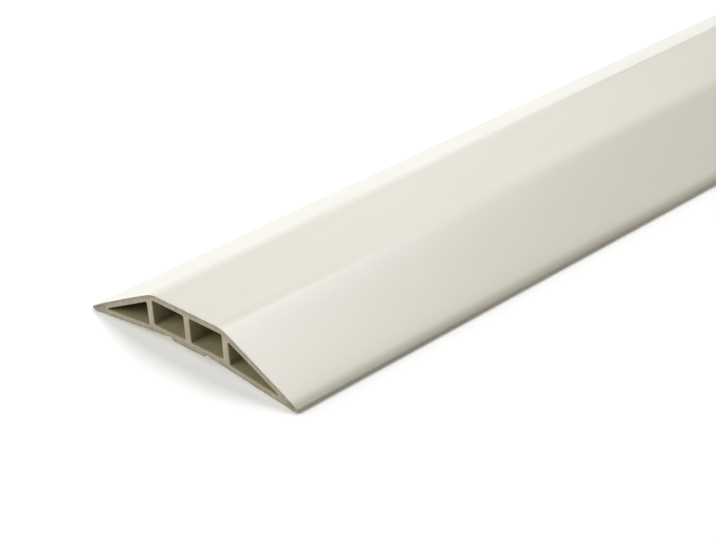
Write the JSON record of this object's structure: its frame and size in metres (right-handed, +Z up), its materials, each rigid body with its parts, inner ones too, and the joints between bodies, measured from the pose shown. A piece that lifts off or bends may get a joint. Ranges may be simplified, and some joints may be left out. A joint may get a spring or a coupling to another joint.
{
  "type": "floor cord cover",
  "caption": "Low, wide vinyl floor cord cover with a flat top, long sloped wings, round lips and webbed channels along its whole length.",
  "frame": {"origin": "middle of the cover on the floor that its two lips stand on", "axes": "+X along the length, +Y across the width, +Z up from the floor; the section is the same on both sides of Y = 0"},
  "size_m": [0.914, 0.076, 0.0132],
  "materials": {
    "ivory_vinyl": "satin extruded ivory flexible PVC, with matt saw-cut ends"
  },
  "bodies": {
    "root": {"cord_cover": "ivory_vinyl"}
  },
  "joints": []
}
